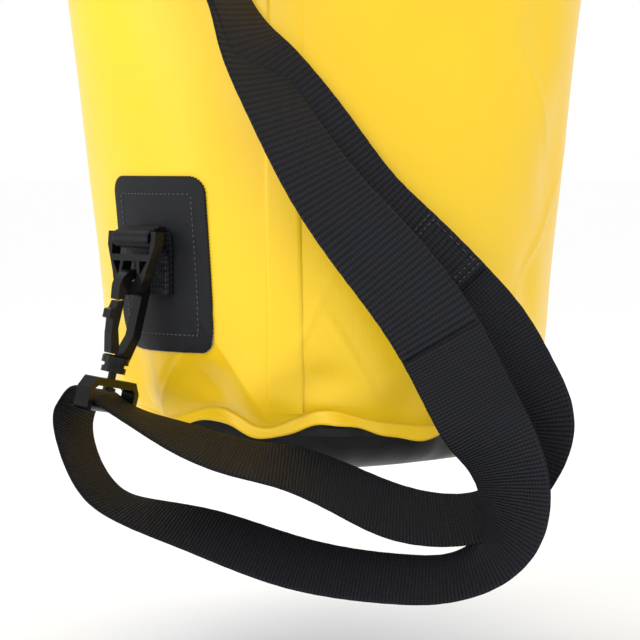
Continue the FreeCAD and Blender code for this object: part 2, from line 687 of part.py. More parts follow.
def make_strap(across):
    """Two webbings sewn to each other at a front and a rear seam."""
    stations, total = strap_stations(strap_route(across), STRAP_STATIONS)
    step = total / len(stations)
    lap = int(round(dim("strap_lap") / step))
    rear_seam = min(range(len(stations) // 2),
                    key=lambda i: (stations[i][0] - Vector(57, -110, 58)).Length
                    + (1000 if stations[i][1].z > 0 else 0))
    apart = dim("strap_thick") / 2 + 0.05

    def lifted(length):
        def lift(i):
            inside = min(i, length - 1 - i)
            return apart if inside <= lap else apart * max(0.0, 1 - (inside - lap) / 6.0)
        return lift

    upper = stations[:rear_seam + 1]
    lower = stations[rear_seam - lap:] + stations[:lap + 1]
    upper_lift, lower_lift = lifted(len(upper)), lifted(len(lower))
    node(feature("UpperWebbing", ribbon(upper, upper_lift)), "strap_upper_webbing")
    node(feature("LowerWebbing", ribbon(lower, lambda i: -lower_lift(i))),
         "strap_lower_webbing")
    for label, at in (("front", 1), ("rear", rear_seam - 1)):
        point, heading, side = stations[at]
        normal = heading.cross(side)
        row = doc.addObject("Part::Box", "Seam_" + label)
        row.setExpression("Length", "dims.strap_wide - 3")
        row.Width = 1.2
        row.Height = 0.4
        turn = Rotation(side, normal.cross(side), normal, "ZXY")
        corner = point + normal * (apart + dim("strap_thick") / 2 + 0.2)
        corner = corner - side * (dim("strap_wide") / 2 - 1.5)
        node(row, "strap_seam_" + label, Placement(lowered(corner), turn))
    print("strap loop length %.0f mm" % total)
    print("upper webbing %.0f mm, lower webbing %.0f mm"
          % ((len(upper) - 1) * step, (len(lower) - 1) * step))


make_bag_body()
make_bottom()
make_hem()
make_seam()
make_roll()
make_shoulders()
make_buckle()
make_closure_webbing()
bars = {}
for clip_name, clip_data in CLIPS.items():
    make_patch(clip_name, clip_data)
    make_tab(clip_name, clip_data)
    make_ring(clip_name, clip_data)
    bars[clip_name] = make_frame(clip_name, clip_data)
    make_hook(clip_name, clip_data)
make_strap(bars)

doc.recompute()
for obj in doc.Objects:
    if "Invalid" in obj.State or "Error" in obj.State:
        raise RuntimeError("%s failed: %s" % (obj.Label, obj.State))
os.makedirs("parts", exist_ok=True)
for obj in NODES:
    if obj.Shape.isNull() or not obj.Shape.isValid():
        raise RuntimeError(obj.Label + " has no valid shape")
    obj.Shape.exportStep("parts/%s.step" % obj.Label)
    print("%-24s %9.1f mm3 %d solids" % (obj.Label, obj.Shape.Volume, len(obj.Shape.Solids)))
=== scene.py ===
import json
import math
import bpy
import numpy as np
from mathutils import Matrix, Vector

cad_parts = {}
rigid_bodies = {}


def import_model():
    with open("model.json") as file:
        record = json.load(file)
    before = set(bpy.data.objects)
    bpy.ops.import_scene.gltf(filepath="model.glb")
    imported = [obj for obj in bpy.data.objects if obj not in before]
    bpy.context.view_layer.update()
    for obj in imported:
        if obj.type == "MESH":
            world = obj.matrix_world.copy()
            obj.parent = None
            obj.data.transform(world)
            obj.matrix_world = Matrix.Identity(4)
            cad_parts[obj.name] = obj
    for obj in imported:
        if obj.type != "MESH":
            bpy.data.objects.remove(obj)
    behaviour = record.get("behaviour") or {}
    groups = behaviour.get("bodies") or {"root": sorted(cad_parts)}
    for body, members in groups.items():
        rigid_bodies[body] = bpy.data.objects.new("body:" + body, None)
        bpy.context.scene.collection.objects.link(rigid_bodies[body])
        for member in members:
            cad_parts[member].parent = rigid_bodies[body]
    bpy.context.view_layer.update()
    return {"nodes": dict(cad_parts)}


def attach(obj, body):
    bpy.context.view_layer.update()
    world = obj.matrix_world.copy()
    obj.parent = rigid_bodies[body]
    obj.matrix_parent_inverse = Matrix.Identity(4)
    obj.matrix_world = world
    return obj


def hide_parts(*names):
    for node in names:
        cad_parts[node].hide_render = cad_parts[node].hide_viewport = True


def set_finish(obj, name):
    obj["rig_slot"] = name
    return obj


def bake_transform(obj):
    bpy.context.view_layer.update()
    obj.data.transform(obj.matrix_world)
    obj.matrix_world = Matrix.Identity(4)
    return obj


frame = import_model()
noise_dice = np.random.RandomState(7)

# Lengths are millimetres and heights count from the bag's hem until a mesh is made.
# Angles round the bag count from its front towards +X, in radians.
HANG_HEIGHT = 540.0              # hem to the underside of the buckle, the frame's origin

BAG_SECTIONS = [                 # height, half-width, half-depth
    (0, 98, 98), (12, 105, 105), (30, 108.5, 108.2), (60, 110.5, 108.6), (110, 116, 103.5),
    (160, 121.5, 98), (216, 128, 91), (280, 137, 76), (330, 143, 64), (370, 141, 54),
]
UV_RADIUS = 110.0                # mean radius, for lengths round the tube
NECK_HEIGHT = 370.0              # above it the wall is drawn up to the roll
TOP_HEIGHT = 431.0               # under the roll
ROLL_THICK = 16.0
ROLL_FLAT = 70.0                 # straight middle of the roll
ROLL_BEND = 45.0                 # radius of its bends
ROLL_TURN = math.radians(150)    # angle of each bend
ROLL_END = 20.0                  # straight ends
ROLL_LENGTH = ROLL_FLAT + 2 * ROLL_BEND * ROLL_TURN + 2 * ROLL_END
SEAM_LEFT, SEAM_WIDE = -27.0, 16.0   # the tube's lengthwise weld
STRAP_WIDE, STRAP_THICK = 38.0, 1.6
STRAP_LAP = 34.0                 # overlap where the two webbings are sewn together
STRAP_APART = STRAP_THICK / 2 + 0.05   # each webbing from the strap's middle at a lap
STRAP_REAR_SEAM = (57, -110, 58)       # end of the upper webbing in the rear strand
FRAME_BAR = 2.4                  # radius of the strap frame's bar
RIM_DROP = 23.75                 # ring's bar down to the middle of its rim
RIM_BEND = 8.75                  # radius of the rim's bend
HOOK_REACH = 54.3                # ring's rim down to the strap frame's bar
BAR_OUT = 13.0                   # ring's bar from the bag's wall
PATCH_WIDE, PATCH_HIGH, PATCH_CORNER = 60, 80, 8
PATCH_DROP = 12                  # patch's middle below the ring's bar
PATCH_LIFT = 1.4                 # patch's face from the wall
PATCH_STITCH_WIDE, PATCH_STITCH_HIGH = 46, 64
NARROW_WEB, NARROW_THICK = 25, 1.5   # tabs and closure
BUCKLE_LEVEL = HANG_HEIGHT + 6   # middle of the buckle
FLOOR_LEVEL, FLOOR_HALF = -0.66, 60.0   # metres

# Where each ring hangs: a point on the wall, its outward direction, how far the ring leans
# out in degrees, the direction up the hook and that of the strap frame's bar.
CLIPS = {
    "lower": {"wall": (-77.5, -77.5, 82.5), "out": (-0.707, -0.707, 0), "tilt": 6,
              "hook_dir": (0.213, 0.093, 0.973), "bar_dir": (0.37, 0.93, -0.1)},
    "upper": {"wall": (-84.5, -48.9, 345), "out": (-0.289, -0.929, 0.23), "tilt": 6,
              "hook_dir": (-0.208, 0.47, 0.858), "bar_dir": (0.6, 0.8, 0)},
}
# The strap's middle line, and the direction across it at each point.
FRONT_UP = [
    ((65, -139, 9), (37, -3, 9)), ((51, -140, 36), (36, 2, 12)), ((37, -140, 58), (35, 7, 13)),
    ((17, -139, 83), (33, 14, 13)), ((-3, -136, 109), (27, 23, 14)),
    ((-25, -129, 146), (17, 30, 15)), ((-37, -122, 167), (10, 34, 12)),
    ((-46, -115, 188), (8, 36, 8)), ((-64, -110, 224), (16, 34, 1)),
    ((-75, -103, 256), (25, 27, -8)),
]
REAR_DOWN = [
    ((-69, -107, 259), (25, 27, -8)), ((-56, -113, 224), (17, 33, 2)),
    ((-40, -115, 184), (14, 34, 8)), ((-31, -118, 168), (19, 30, 12)),
    ((-22, -117, 154), (24, 24, 15)), ((-4, -114, 127), (31, 14, 15)),
    ((17, -112, 98), (34, 8, 14)), ((37, -111, 78), (35, 4, 14)),
    ((57, -110, 58), (35, 2, 14)), ((74, -109, 38), (35, 0, 13)),
    ((86, -108, 17), (36, -5, 8)), ((93, -107, 2), (33, -15, -6)),
    ((92, -106, -17), (15, -26, -22)), ((83, -105, -33), (-2, -30, -24)),
    ((68, -105, -42), (-10, -32, -19)),
    ((33, -108, -40), (-12, -32, -17)), ((8, -112, -29), (-11, -33, -15)),
    ((-16, -115, -19), (-12, -34, -12)), ((-39, -115, -14), (-14, -34, -9)),
    ((-61, -110, -7), (-16, -34, -5)), ((-81, -102, 1), (-16, -34, 2)),
]
OUTER_BACK = [
    ((-106.4, -89.7, 13.8), (-14, -36, 6.5)), ((-113.8, -88.3, 5.5), (-14, -36, 6.5)),
    ((-113.2, -95.7, -10.3), (-14, -35, 8)),
    ((-100, -108, -31), (-17, -34, 4)), ((-86, -113, -38), (-19, -33, -2)),
    ((-56, -119, -46), (-17, -32, -10)), ((-12, -124, -60), (-15, -32, -14)),
    ((32, -128, -66), (-12, -33, -15)), ((54, -130, -65), (-6, -34, -16)),
    ((71, -132, -57), (8, -34, -16)), ((80, -134, -43), (23, -29, -9)),
    ((81, -136, -25), (30, -23, 0)), ((75, -138, -8), (34, -16, 5)),
]

# Dents in the wall: angle, height, half-width in radians, half-height, depth.
DENTS = (
    (-0.56, 15, 0.13, 12, -7.0), (-0.02, 17, 0.16, 11, -6.0), (-0.30, 20, 0.10, 13, 2.0),
    (-1.00, 22, 0.12, 16, -5.5), (0.38, 12, 0.14, 9, -2.0), (1.05, 62, 0.10, 14, -3.0),
    (1.18, 118, 0.13, 26, -3.2), (0.92, 176, 0.10, 20, -2.0), (2.2, 150, 0.30, 60, -4.0),
    (2.3, 14, 0.16, 12, -4.5), (-2.4, 210, 0.30, 60, -4.0), (-2.5, 16, 0.18, 12, -4.2),
    (3.0, 60, 0.25, 26, -3.2), (1.7, 270, 0.22, 40, -4.0), (-1.6, 300, 0.2, 40, -3.2),
    (-1.7, 15, 0.18, 12, -4.0), (1.3, 15, 0.16, 12, -4.2), (2.9, 320, 0.3, 26, -4.5),
    (0.35, 330, 0.22, 24, -3.5), (0.9, 300, 0.16, 40, -2.6),
)
# Creases: angle, height, slant, half-length, half-width in radians, height of the ridge.
CREASES = (
    (-0.72, 20, 0.9, 26, 0.020, 1.1), (-0.40, 24, -0.7, 24, 0.018, 1.0),
    (-0.14, 30, 0.5, 22, 0.016, 0.9), (0.12, 27, -0.6, 20, 0.016, 0.9),
    (1.12, 80, 0.8, 34, 0.022, 1.2), (1.0, 140, -0.6, 34, 0.02, 1.0),
    (2.2, 40, 0.7, 34, 0.022, 1.2), (-2.6, 46, -0.8, 34, 0.022, 1.2),
    (2.7, 300, 0.6, 40, 0.022, 1.3), (-2.2, 320, -0.7, 36, 0.022, 1.3),
    (0.5, 345, 0.7, 26, 0.02, 1.2), (1.2, 335, -0.5, 30, 0.02, 1.0),
)
# Waves of the weld: angle, half-width in radians, rise.
WELD_WAVES = (
    (-0.56, 0.13, 4.6), (-0.30, 0.12, -3.2), (-0.02, 0.19, 4.2), (0.38, 0.20, -2.6),
    (-0.85, 0.12, -1.5), (1.3, 0.2, 2.4), (2.3, 0.16, 3.0), (3.0, 0.2, -2.0),
    (-2.5, 0.2, 2.6), (-1.7, 0.2, 2.2),
)


# ---------------------------------------------------------------- small tools

def unit(v):
    """Vectors scaled to length 1."""
    v = np.asarray(v, float)
    return v / np.linalg.norm(v, axis=-1, keepdims=True)


def metres(points):
    """Millimetres above the hem, moved into the frame."""
    return (np.asarray(points, float) - (0, 0, HANG_HEIGHT)) / 1000.0


def smooth_step(x):
    """A smooth rise from 0 to 1 as x does the same."""
    x = np.clip(x, 0, 1)
    return x * x * (3 - 2 * x)


def spline(knots, rows, closed):
    """A cubic spline through rows at knots; closed has one knot more than rows."""
    knots, rows = np.asarray(knots, float), np.asarray(rows, float)
    if closed:
        rows = np.vstack([rows, rows[:1]])
    count = len(knots)
    step = np.diff(knots)
    slope = np.diff(rows, axis=0) / step[:, None]
    system, right = np.zeros((count, count)), np.zeros(rows.shape)
    for i in range(1, count - 1):
        system[i, i - 1:i + 2] = step[i - 1], 2 * (step[i - 1] + step[i]), step[i]
        right[i] = 6 * (slope[i] - slope[i - 1])
    if closed:
        system[0, 0], system[0, -1] = 1, -1
        system[-1, 0], system[-1, 1] = 2 * (step[0] + step[-1]), step[0]
        system[-1, -2] = step[-1]
        right[-1] = 6 * (slope[0] - slope[-1])
    else:
        system[0, 0] = system[-1, -1] = 1
    bend = np.linalg.solve(system, right)

    def value(t):
        t = np.atleast_1d(np.asarray(t, float))
        i = np.clip(np.searchsorted(knots, t, side="right") - 1, 0, count - 2)
        h, a, b = step[i][:, None], (knots[i + 1] - t)[:, None], (t - knots[i])[:, None]
        return (bend[i] * a ** 3 + bend[i + 1] * b ** 3) / (6 * h) \
            + (rows[i] / h - bend[i] * h / 6) * a + (rows[i + 1] / h - bend[i + 1] * h / 6) * b
    return value


def even_points(value, first, last, count, closed=False):
    """Parameters that lie at even distances along a spline, and its length."""
    fine = np.linspace(first, last, 6000)
    points = value(fine)
    run = np.concatenate([[0], np.cumsum(np.linalg.norm(np.diff(points, axis=0), axis=1))])
    ends = run[-1] * (1 - 1 / count) if closed else run[-1]
    return np.interp(np.linspace(0, ends, count), run, fine), run[-1]


def grid_faces(rows, cols, wrap=False, start=0):
    """Quads of a grid of vertices, its columns joined round if it wraps."""
    faces = []
    for r in range(rows - 1):
        for c in range(cols if wrap else cols - 1):
            d = (c + 1) % cols
            faces.append((start + r * cols + c, start + r * cols + d,
                          start + (r + 1) * cols + d, start + (r + 1) * cols + c))
    return faces


def end_caps(rows, count):
    """Quads over both ends of a swept section, between its first and second half."""
    faces = []
    for start in (0, (rows - 1) * count):
        for k in range(count // 2 - 1):
            faces.append((start + k, start + k + 1, start + count - 2 - k, start + count - 1 - k))
    return faces


def make_piece(name, points, faces, material, slot, uv=None):
    """A mesh object from millimetre points, with a material and its record slot."""
    mesh = bpy.data.meshes.new(name)
    mesh.from_pydata(metres(points).tolist(), [], faces)
    mesh.materials.append(material)
    if uv is not None:
        layer = mesh.uv_layers.new(name="UVMap")
        corner = np.zeros(len(mesh.loops), np.int32)
        mesh.loops.foreach_get("vertex_index", corner)
        layer.data.foreach_set("uv", (np.asarray(uv, float)[corner] / 1000.0).ravel())
    mesh.polygons.foreach_set("use_smooth", [True] * len(mesh.polygons))
    mesh.update()
    obj = bpy.data.objects.new(name, mesh)
    bpy.context.scene.collection.objects.link(obj)
    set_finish(obj, slot)
    return obj


# ---------------------------------------------------------------- materials

class Shader:
    """A node material on one Principled shader."""

    def __init__(self, name, color, roughness, coat=0.0, gloss=0.5):
        self.mat = bpy.data.materials.new(name)
        self.mat.use_nodes = True
        self.tree = self.mat.node_tree
        self.bsdf = self.tree.nodes["Principled BSDF"]
        self.bsdf.inputs["Base Color"].default_value = (*color, 1)
        self.bsdf.inputs["Roughness"].default_value = roughness
        self.bsdf.inputs["Specular IOR Level"].default_value = gloss
        self.bsdf.inputs["Coat Weight"].default_value = coat
        self.bsdf.inputs["Coat Roughness"].default_value = 0.25

    def add(self, kind, **settings):
        """A new node of a kind, with its settings."""
        node = self.tree.nodes.new(kind)
        for key, value in settings.items():
            setattr(node, key, value)
        return node

    def link(self, source, target):
        self.tree.links.new(source, target)

    def math(self, operation, a, b=0.0):
        """A sum on two numbers or sockets."""
        node = self.add("ShaderNodeMath", operation=operation)
        for socket, value in zip(node.inputs, (a, b)):
            if isinstance(value, (int, float)):
                socket.default_value = value
            else:
                self.link(value, socket)
        return node.outputs[0]

    def uv(self):
        """The two lengths in the cloth, in metres."""
        split = self.add("ShaderNodeSeparateXYZ")
        self.link(self.add("ShaderNodeTexCoord").outputs["UV"], split.inputs[0])
        return split.outputs[0], split.outputs[1]

    def noise(self, scale, detail=3.0, rough=0.5):
        """Noise from 0 to 1 that is fixed to the piece."""
        node = self.add("ShaderNodeTexNoise")
        self.link(self.add("ShaderNodeTexCoord").outputs["Object"], node.inputs["Vector"])
        node.inputs["Scale"].default_value = scale
        node.inputs["Detail"].default_value = detail
        node.inputs["Roughness"].default_value = rough
        return node.outputs["Fac"]

    def ribs(self, along, pitch, sharp=1.0):
        """Even ridges, from 0 to 1, of a pitch in metres."""
        wave = self.math("SINE", self.math("MULTIPLY", along, 2 * math.pi / pitch))
        ridge = self.math("ADD", self.math("MULTIPLY", wave, 0.5), 0.5)
        return self.math("POWER", ridge, sharp)

    def mix_color(self, factor, dark, light):
        """Colour from dark to light as a factor goes from 0 to 1."""
        node = self.add("ShaderNodeMix", data_type="RGBA")
        self.link(factor, node.inputs["Factor"])
        node.inputs["A"].default_value = (*dark, 1)
        node.inputs["B"].default_value = (*light, 1)
        self.link(node.outputs["Result"], self.bsdf.inputs["Base Color"])

    def vary_roughness(self, factor, low, high):
        """Roughness from low to high as a factor goes from 0 to 1."""
        node = self.add("ShaderNodeMapRange")
        self.link(factor, node.inputs["Value"])
        node.inputs["To Min"].default_value = low
        node.inputs["To Max"].default_value = high
        self.link(node.outputs["Result"], self.bsdf.inputs["Roughness"])

    def bump(self, height, distance, strength=1.0):
        """Relief of a height from 0 to 1, over a distance in metres."""
        node = self.add("ShaderNodeBump")
        node.inputs["Distance"].default_value = distance
        node.inputs["Strength"].default_value = strength
        self.link(height, node.inputs["Height"])
        self.link(node.outputs["Normal"], self.bsdf.inputs["Normal"])


def coated_fabric(name, dark, light, roughness, coat, emboss, gloss):
    """Coated fabric: its scrim shows faintly, and its colour and gloss drift."""
    shader = Shader(name, light, roughness, coat, gloss)
    u, v = shader.uv()
    drift = shader.noise(9.0, 4.0, 0.55)
    shader.mix_color(drift, dark, light)
    shader.vary_roughness(shader.noise(35.0), roughness - 0.06, roughness + 0.08)
    pitch = 0.0011
    scrim = shader.math("MULTIPLY", shader.ribs(u, pitch), shader.ribs(v, pitch))
    height = shader.math("ADD", shader.math("MULTIPLY", scrim, emboss),
                         shader.math("MULTIPLY", shader.noise(260.0, 2.0), 0.6))
    shader.bump(height, 0.0002, 0.6)
    return shader.mat


def ribbed_webbing(name, pitch):
    """Woven webbing: ribs across it, fine columns of yarn along it. Its colour has painted light
    and shade from the weave, lighter on the rib tops and darker in the grooves, plus a random
    fuzz.
    """
    shader = Shader(name, (0.008, 0.009, 0.013), 0.55, gloss=0.14)
    u, v = shader.uv()
    fuzz = shader.noise(1500.0, 2.0)
    sway = shader.math("ADD", v, shader.math("MULTIPLY", shader.noise(300.0, 1.0), 0.0004))
    cross = shader.ribs(sway, pitch, 0.8)
    columns = shader.ribs(u, 0.0016)
    weave = shader.math("ADD", shader.math("MULTIPLY", cross, 0.7),
                        shader.math("MULTIPLY", columns, 0.3))
    # Painted light and shade: the colour follows the weave's relief, lighter on the ribs and
    # darker in the grooves, with a random fuzz of tone added.
    shade = shader.math("ADD", shader.math("MULTIPLY", weave, 0.8),
                        shader.math("MULTIPLY", fuzz, 0.25))
    shader.mix_color(shade, (0.002, 0.002, 0.0026), (0.017, 0.018, 0.024))
    shader.vary_roughness(fuzz, 0.45, 0.68)
    shader.bump(shader.math("ADD", weave, shader.math("MULTIPLY", fuzz, 0.2)), 0.0007, 0.9)
    return shader.mat


def matte_patch(name):
    """Charcoal fabric with a fine grain."""
    shader = Shader(name, (0.012, 0.013, 0.015), 0.62, gloss=0.2)
    grain = shader.noise(900.0, 3.0)
    shader.mix_color(shader.noise(60.0), (0.006, 0.0065, 0.0075), (0.012, 0.0128, 0.015))
    shader.vary_roughness(grain, 0.52, 0.72)
    shader.bump(grain, 0.00025, 0.8)
    return shader.mat


def moulded_plastic(name):
    """Glossy black acetal, a little uneven from its mould."""
    shader = Shader(name, (0.004, 0.004, 0.0045), 0.24, gloss=0.2)
    shader.mix_color(shader.noise(80.0), (0.003, 0.003, 0.0032), (0.006, 0.006, 0.007))
    shader.vary_roughness(shader.noise(140.0), 0.17, 0.33)
    shader.bump(shader.noise(320.0, 2.0), 0.0001, 0.35)
    return shader.mat


def sewing_thread(name, dark, light):
    """Twisted thread."""
    shader = Shader(name, light, 0.5)
    twist = shader.noise(2400.0, 1.0)
    shader.mix_color(twist, dark, light)
    shader.vary_roughness(twist, 0.42, 0.62)
    shader.bump(twist, 0.0002, 0.7)
    return shader.mat


YELLOW = coated_fabric("yellow_pvc", (0.87, 0.52, 0.006), (0.94, 0.65, 0.011),
                       roughness=0.36, coat=0.12, emboss=0.30, gloss=0.4)
BLACK = coated_fabric("black_pvc", (0.004, 0.004, 0.0045), (0.009, 0.009, 0.010),
                      roughness=0.42, coat=0.0, emboss=0.5, gloss=0.25)
PATCH = matte_patch("charcoal_patch")
COARSE = ribbed_webbing("coarse_webbing", 0.0026)
FINE = ribbed_webbing("fine_webbing", 0.0015)
PLASTIC = moulded_plastic("black_plastic")
GREY_THREAD = sewing_thread("grey_thread", (0.035, 0.037, 0.04), (0.13, 0.135, 0.14))
BLACK_THREAD = sewing_thread("black_thread", (0.008, 0.008, 0.010), (0.040, 0.042, 0.05))
PALE_FIBRE = sewing_thread("pale_fibre", (0.55, 0.55, 0.52), (0.80, 0.80, 0.78))


# ---------------------------------------------------------------- the bag's wall

half_sizes = spline([row[0] for row in BAG_SECTIONS], [row[1:] for row in BAG_SECTIONS], False)


def turned(phi, where):
    """The angle from where to phi, between half a turn back and half a turn on."""
    return (phi - where + math.pi) % (2 * math.pi) - math.pi


def bumps(phi, z):
    """How far the filled wall stands out from its even shape, in millimetres."""
    low = np.exp(-(z / 16.0) ** 2)
    pucker = 0.9 * np.sin(15 * phi + 0.7) + 0.6 * np.sin(23 * phi + 2.1 + 0.03 * z)
    slack = 1.1 * np.sin(2.3 * phi + z / 47.0) * np.sin(z / 61.0 + 1.3 * phi)
    slack += 0.6 * np.sin(5.1 * phi - z / 33.0 + 1.0)
    out = low * pucker + slack * smooth_step(z / 60.0)
    for where, height, wide, high, depth in DENTS:
        out = out + depth * np.exp(-(turned(phi, where) / wide) ** 2 - ((z - height) / high) ** 2)
    for where, height, slant, long, wide, high in CREASES:
        drift = turned(phi, where) - slant * (z - height) / 110.0
        out = out + high * np.exp(-(drift / wide) ** 2 - ((z - height) / long) ** 2)
    return out


def wall_point(phi, z, lift=0.0):
    """Points of the wall at angles round it and heights, lifted off it."""
    phi, z = np.broadcast_arrays(np.asarray(phi, float), np.asarray(z, float))
    size = half_sizes(z.ravel()).reshape(z.shape + (2,))
    a, b = size[..., 0], size[..., 1]
    out = unit(np.stack([np.sin(phi) / a, -np.cos(phi) / b, np.zeros_like(phi)], -1))
    point = np.stack([a * np.sin(phi), -b * np.cos(phi), z], -1)
    return point + out * (bumps(phi, z) + lift)[..., None]


def roll_path(s):
    """The roll's middle line, its outward side and its turn, at distances from its middle."""
    s = np.asarray(s, float)
    side, run = np.sign(s), np.abs(s)
    half, bent = ROLL_FLAT / 2, ROLL_BEND * ROLL_TURN
    turn = np.clip((run - half) / ROLL_BEND, 0, ROLL_TURN)
    rest = np.clip(run - half - bent, 0, None)
    base = TOP_HEIGHT + ROLL_THICK / 2 + 0.3
    x = np.minimum(run, half) + ROLL_BEND * np.sin(turn) + rest * np.cos(turn)
    z = base + ROLL_BEND * (1 - np.cos(turn)) + rest * np.sin(turn)
    zero = np.zeros_like(x)
    point = np.stack([side * x, zero, z], -1)
    out = np.stack([side * np.sin(turn), zero, -np.cos(turn)], -1)
    return point, out, side * turn


def neck_point(phi, t):
    """The wall from its shoulders, at t 0, to the outside of the roll, at t 1."""
    start = wall_point(phi, np.full_like(phi, NECK_HEIGHT))
    below = wall_point(phi, np.full_like(phi, NECK_HEIGHT - 4))
    reach = ROLL_LENGTH / 2 - 1.5
    line, out, turn = roll_path(reach * np.sin(phi))
    front = -np.cos(phi)
    end = line + out * (ROLL_THICK / 2 - 1.2)
    end[..., 1] = 3.2 * np.sign(front) * np.abs(front) ** 0.4
    gap = np.linalg.norm(end - start, axis=-1)[..., None]
    leave = unit(start - below) * gap * 0.95
    face = np.clip(np.abs(turn), 0, 1.25) * np.sign(turn)
    arrive = np.stack([-np.sin(face), np.zeros_like(face), np.cos(face)], -1) * gap * 0.75
    t = t[..., None]
    point = (2 * t ** 3 - 3 * t ** 2 + 1) * start + (t ** 3 - 2 * t ** 2 + t) * leave
    point = point + (3 * t ** 2 - 2 * t ** 3) * end + (t ** 3 - t ** 2) * arrive
    t = t[..., 0]
    gather = np.sin(math.pi * t) * t
    pleats = 2.0 * np.sin(26 * np.sin(phi) + 3 * t) + 1.5 * np.sin(41 * np.sin(phi) + 1.4)
    point[..., 1] += gather * pleats * np.sign(front) * np.abs(front) ** 0.5
    return point


def weld_height(phi):
    """The weld's height, drawn up under each dent of the wall and sagging between them."""
    rise = 0.9 * np.sin(9 * phi + 0.4) + 0.6 * np.sin(17 * phi + 2.0)
    for where, wide, high in WELD_WAVES:
        rise = rise + high * np.exp(-(turned(phi, where) / wide) ** 2)
    return rise


def hem_rings(phi):
    """Rings of the scalloped edge below the weld, and their lengths along the fabric."""
    scallop = 2.0 * np.sin(14 * phi + 1.1) + 0.9 * np.sin(25 * phi + 0.3)
    drop = 5.8 + 0.8 * np.sin(14 * phi + 2.4) + 0.4 * np.sin(31 * phi)
    rings = []
    for part in (1.0, 0.8, 0.6, 0.4, 0.2):
        ring = wall_point(phi, np.zeros(len(phi)), -0.6 + part * (0.6 + 0.45 * scallop))
        ring[:, 2] = weld_height(phi) - drop * part
        rings.append((ring, -6.0 * part))
    return rings


def wall_rings(phi):
    """Rings from the weld, which is tucked in, up to the neck, and their lengths."""
    tucked = [0.0, 0.5, 1.2, 2.2, 3.4]
    rings = []
    for height in np.concatenate([tucked, np.arange(5.0, 60.0, 1.6),
                                  np.arange(60.0, NECK_HEIGHT, 3.2)]):
        tuck = 0.0 if height > tucked[-1] else -0.6 * math.exp(-height / 1.5)
        if height == 0:
            tuck = -1.0
        ring = wall_point(phi, np.full(len(phi), height), tuck)
        ring[:, 2] += weld_height(phi) * math.exp(-height / 14.0)
        rings.append((ring, height))
    return rings


def make_shell():
    """The yellow tube from the scalloped edge below its weld up to the roll."""
    cols = 420
    phi = np.linspace(-math.pi, math.pi, cols, endpoint=False)
    rings = hem_rings(phi) + wall_rings(phi)
    for t in np.linspace(0, 1, 46):
        rings.append((neck_point(phi, np.full(cols, t)), NECK_HEIGHT + 70 * t))
    points = np.vstack([ring for ring, length in rings])
    uv = np.stack([np.tile(phi * UV_RADIUS, len(rings)),
                   np.repeat([length for ring, length in rings], cols)], -1)
    shell = make_piece("bag_shell", points, grid_faces(len(rings), cols, True), YELLOW,
                       "pvc_yellow", uv)
    skin = shell.modifiers.new("fabric", "SOLIDIFY")
    skin.thickness = 0.0009
    skin.offset = -1
    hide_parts("bag_body", "hem_band", "shoulder_left", "shoulder_right")
    return shell


def make_seam_strip():
    """The lengthwise weld: a crisp left edge, and a right one that fades into the tube."""
    heights = np.linspace(3.5, 404, 150)
    steps = np.array([0.0, 0.02, 0.12, 0.5, 0.85, 0.97, 1.0])
    lifts = np.array([0.15, 0.8, 0.85, 0.75, 0.6, 0.5, 0.1])
    points, uv = [], []
    for height in heights:
        t = max(0.0, (height - NECK_HEIGHT) / (TOP_HEIGHT - NECK_HEIGHT))
        wide = half_sizes(min(height, NECK_HEIGHT))[0][0]
        x = SEAM_LEFT + SEAM_WIDE * steps + 0.4 * math.sin(height / 23.0)
        phi = np.arcsin(x / wide)
        if t > 0:
            row = neck_point(phi, np.full(len(phi), t))
            row[:, 1] -= lifts * 1.3
        else:
            row = wall_point(phi, np.full(len(phi), height), lifts)
        points.append(row)
        uv += [(value, height) for value in x]
    strip = make_piece("seam_strip", np.vstack(points), grid_faces(len(heights), len(steps)),
                       YELLOW, "pvc_yellow", uv)
    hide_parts("side_seam_strip")


def make_bottom():
    """The black bottom: a flange inside the hem and a soft, slightly creased dome."""
    profile = [(92.0, 8), (93.2, 3), (93.6, -3), (93.4, -8), (91.6, -13.5), (87.5, -18.5),
               (80, -22.6), (69, -25.4), (54, -27.1), (36, -27.8), (18, -28), (6, -28), (0.5, -28)]
    marks = np.arange(len(profile))
    curve = spline(marks, profile, False)
    cols, rows = 260, 60
    phi = np.linspace(-math.pi, math.pi, cols, endpoint=False)
    points, uv = [], []
    for mark in np.linspace(0, marks[-1], rows):
        radius, height = curve(mark)[0]
        edge = np.exp(-((radius - 88) / 14.0) ** 2)
        crease = edge * (0.9 * np.sin(14 * phi + 1.0) + 0.6 * np.sin(27 * phi))
        reach = radius + np.where(height > -3, 0, np.minimum(crease, 0.6))
        lift = 0.5 * np.sin(3 * phi + radius / 12.0) * min(1.0, radius / 60.0) + 0.5
        level = np.where(height > -9, height, height + np.clip(lift, 0, 1.2))
        points.append(np.stack([reach * np.sin(phi), -reach * np.cos(phi),
                                np.broadcast_to(level, phi.shape)], -1))
        uv.append(np.stack([phi * 90, np.full(cols, mark * 9)], -1))
    panel = make_piece("bottom_dome", np.vstack(points), grid_faces(rows, cols, True), BLACK,
                       "pvc_black", np.vstack(uv))
    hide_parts("bottom_panel")


# ---------------------------------------------------------------- the rolled mouth

def roll_section():
    """The rolled fabric's cross-section, out along its spiral and back, and the run along it."""
    turns, steps = 2.7, 190
    alpha = np.linspace(0, turns * 2 * math.pi, steps)
    part = alpha / alpha[-1]
    wide, high = 12.9 + 1.4 * part, 2.3 + 5.0 * part
    wave_c, wave_s = np.cos(alpha + math.pi), np.sin(alpha + math.pi)
    middle = np.stack([wide * np.sign(wave_c) * np.abs(wave_c) ** 0.55,
                       high * np.sign(wave_s) * np.abs(wave_s) ** 0.85], -1)
    heading = unit(np.gradient(middle, axis=0))
    aside = np.stack([-heading[:, 1], heading[:, 0]], -1) * 0.55
    section = np.vstack([middle + aside, (middle - aside)[::-1]])
    run = np.linspace(0, turns * 70, steps)
    return section, np.concatenate([run, run[::-1]])


